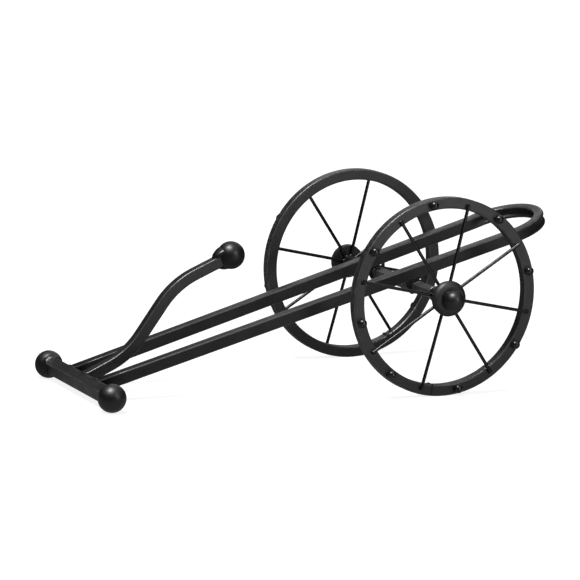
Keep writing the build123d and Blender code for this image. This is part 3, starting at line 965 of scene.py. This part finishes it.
# %% [markdown]
# ## Hanger plates and their welds
# A hanger is cut from 4 mm plate: a trapezoid with a rounded foot, a square opening for the axle
# and a small empty hole. A filled 2D curve draws such a plate at once. Its closed lines are the outline
# and the openings, its extrude gives the thickness and its bevel the tumbled edges that catch the light.
# Each plate stands on edge under its rail, with one bead along each side. The axle's square bar
# passes through it, with a small bead round the square on both faces of the plate.


# %% Lines of a plate
def closed_line(curve, points):
    """Add a closed outline of flat points to a filled curve."""
    line = curve.splines.new("POLY")
    line.points.add(len(points) - 1)
    for point, (x, y) in zip(line.points, points):
        point.co = (x, y, 0.0, 1.0)
    line.use_cyclic_u = True


def round_corner(before, corner, after, radius, steps=8):
    """Points of an arc that rounds a corner of an outline."""
    one, two = (before - corner).normalized(), (after - corner).normalized()
    half = math.acos(one.dot(two)) / 2
    middle = corner + (one + two).normalized() * radius / math.sin(half)
    first, last = corner + one * radius / math.tan(half), corner + two * radius / math.tan(half)
    arc = []
    for step in range(steps + 1):
        blend = (first - middle).lerp(last - middle, step / steps).normalized()
        arc.append(middle + blend * radius)
    return arc


rail_underside = rail_rise * math.cos(slope) - rail_half
top_half, foot_half, foot_level, foot_bend = 0.020, 0.014, -0.0105, 0.004
corners = [
    Vector((-top_half, rail_underside)), Vector((-foot_half, foot_level)),
    Vector((foot_half, foot_level)), Vector((top_half, rail_underside)),
]
outline = [corners[0]]
outline += round_corner(corners[0], corners[1], corners[2], foot_bend)
outline += round_corner(corners[1], corners[2], corners[3], foot_bend)
outline.append(corners[3])
bar_half = 0.008
opening = [(-bar_half, -bar_half), (bar_half, -bar_half), (bar_half, bar_half), (-bar_half, bar_half)]
hole_middle = Vector((0.0112, (bar_half + rail_underside) / 2))
hole = []
for step in range(32):
    angle = step * math.pi / 16
    hole.append((hole_middle.x + 0.0025 * math.cos(angle), hole_middle.y + 0.0025 * math.sin(angle)))
print("plate outline:", len(outline), "points, hole at", [round(value, 4) for value in hole_middle])

# %% Hanger plates
plate_thickness, plate_edge = 0.004, 0.0004
for side in ("left", "right"):
    curve = bpy.data.curves.new("plate_outline", "CURVE")
    curve.dimensions = "2D"
    curve.fill_mode = "BOTH"
    curve.extrude = plate_thickness / 2 - plate_edge
    curve.bevel_depth = plate_edge
    curve.bevel_resolution = 2
    curve.offset = -plate_edge
    for line in (outline, opening, hole):
        closed_line(curve, line)
    drawing = bpy.data.objects.new("plate_outline", curve)
    mesh = bmesh.new()
    mesh.from_mesh(bpy.data.meshes.new_from_object(drawing))
    bpy.data.objects.remove(drawing)
    low, high = (Vector(corner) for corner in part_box(f"hanger_{side}"))
    place = Matrix((along, square, -sideways)).transposed().to_4x4()
    place.translation = Vector((axle_x, (low.y + high.y) / 2, axle_z))
    bmesh.ops.transform(mesh, matrix=place, verts=mesh.verts)
    plate = make_piece(f"hanger_plate_{side}", mesh, "frame", coats["plate"], smooth=False)
    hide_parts(f"hanger_{side}")

# %% Beads of the hangers
plate_faces = []
for side in ("left", "right"):
    low, high = (Vector(corner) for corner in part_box(f"hanger_{side}"))
    plate_faces += [(low.y, -1.0), (high.y, 1.0)]
bead_half = top_half - 0.001
mesh = bmesh.new()
for face, out in plate_faces:
    stations = []
    for step in range(61):
        station = 2 * bead_half * step / 60 - bead_half
        root = axle_middle + along * station + square * rail_underside
        root.y = face
        stations.append(fillet(root, -square, sideways * out, 0.0034, 0.0030))
    add_bead(mesh, stations, False, 0.0030, 41.0 + face * 100.0)
make_piece("hanger_welds", mesh, "frame", coats["bright_weld"])

# %% Beads of the axle
mesh = bmesh.new()
for face, out in plate_faces:
    stations = []
    for flat, outwards in tube_outline(2 * bar_half, 0.0008):
        root = axle_middle + along * flat.x + square * flat.y
        root.y = face
        spread_out = along * outwards.x + square * outwards.y
        stations.append(fillet(root, sideways * out, spread_out, 0.0026, 0.0026))
    add_bead(mesh, stations, True, 0.0026, 51.0 + face * 100.0)
make_piece("axle_welds", mesh, "frame", coats["bright_weld"])

# %% [markdown]
# ## Welds of the wheels
# A spoke lies on the rim's face and is tacked round its tip; its other end butts against the barrel
# inside the hub. The rim is a tube rolled into a ring and closed with one butt weld, ground off on the tread
# and left as a low rib inside. All of these are beads again, and they ride on their own wheel,
# so that they turn with it.

# %% Spoke tacks
spoke_angles = (32.5, 77.0, 124.0, 168.0, 213.0, 255.0, 304.0, 348.5)
track_half = abs(joints["wheel_left_spin"]["pos_m"][1])
rim_middle_radius = 0.168
spoke_radius, spoke_level = 0.003, 0.0026


def wheel_ways(degrees):
    """The ways outwards and forwards at an angle round a wheel."""
    angle = math.radians(degrees)
    return Vector((math.cos(angle), 0.0, math.sin(angle))), Vector((-math.sin(angle), 0.0, math.cos(angle)))


def spoke_tack(mesh, sign, degrees, seed):
    """A tack weld round the tip of a spoke, from one flank round the end to the other."""
    flank_share, flank_reach = 0.36, 0.0085
    out, flank = wheel_ways(degrees)
    away = sideways * sign
    face = Vector((axle_x, sign * track_half, axle_z))
    stations = []
    for step in range(49):
        share = step / 48
        past = share - flank_share
        tip_share = 1.0 - 2.0 * flank_share
        if past < 0.0:
            reach, sweep = flank_reach * past / flank_share, 0.0
        elif past > tip_share:
            reach, sweep = -flank_reach * (past - tip_share) / flank_share, math.pi
        else:
            reach, sweep = 0.0, math.pi * past / tip_share
        around = flank * math.cos(sweep) + out * math.sin(sweep)
        tip = math.sin(sweep)
        root = face + out * (rim_middle_radius + reach + 0.0001) + flank * 0.0022 * math.cos(sweep)
        up_rod = (away * (0.8 + 0.2 * tip) + around * 0.5 * (1.0 - tip)).normalized()
        stations.append(fillet(root, up_rod, around, 0.0026 + 0.0010 * tip, 0.0024, 0.2))
    add_bead(mesh, stations, False, 0.0024, seed)


for side, sign in (("left", -1.0), ("right", 1.0)):
    mesh = bmesh.new()
    for index, angle in enumerate(spoke_angles):
        spoke_tack(mesh, sign, angle, 61.0 + 3.0 * index + sign)
    make_piece(f"spoke_tacks_{side}", mesh, f"wheel_{side}", coats["tack"])

# %% Spoke roots on the barrel
barrel_radius = 0.013
for side, sign in (("left", -1.0), ("right", 1.0)):
    mesh = bmesh.new()
    for index, angle in enumerate(spoke_angles):
        out, flank = wheel_ways(angle)
        middle = Vector((axle_x, sign * (track_half + spoke_level), axle_z))
        stations = []
        for step in range(25):
            sweep = math.pi * (1.0 + step / 24)
            around = flank * math.cos(sweep) + sideways * sign * math.sin(sweep)
            sink = math.sqrt(barrel_radius**2 - (spoke_radius * math.cos(sweep)) ** 2)
            root = middle + around * spoke_radius + out * sink
            stations.append(fillet(root, out, around, 0.0024, 0.0022))
        add_bead(mesh, stations, False, 0.0024, 91.0 + 3.0 * index + sign)
    make_piece(f"spoke_roots_{side}", mesh, f"wheel_{side}", coats["bright_weld"])

# %% Rim seams
rim_side, rim_corner = 0.020, 0.0025
for side, sign, seam_angle in (("left", -1.0, 262.5), ("right", 1.0, 298.0)):
    out, forwards = wheel_ways(seam_angle)
    middle = Vector((axle_x, sign * (track_half - rim_side / 2), axle_z)) + out * rim_middle_radius
    stations = []
    for flat, outwards in tube_outline(rim_side, rim_corner):
        root = middle + out * flat.x + sideways * flat.y
        crown = out * outwards.x + sideways * outwards.y
        inside = max(-outwards.x, 0.0)
        ground = max(outwards.x, 0.0)
        width = 0.0022 + 0.0010 * inside
        rise = 0.0005 + 0.0016 * inside**2 - 0.0004 * ground
        stations.append((root, root + forwards * width, root - forwards * width, crown, rise))
    mesh = bmesh.new()
    add_bead(mesh, stations, True, 0.0032, 121.0 + sign)
    make_piece(f"rim_seam_{side}", mesh, f"wheel_{side}", coats["weld"])
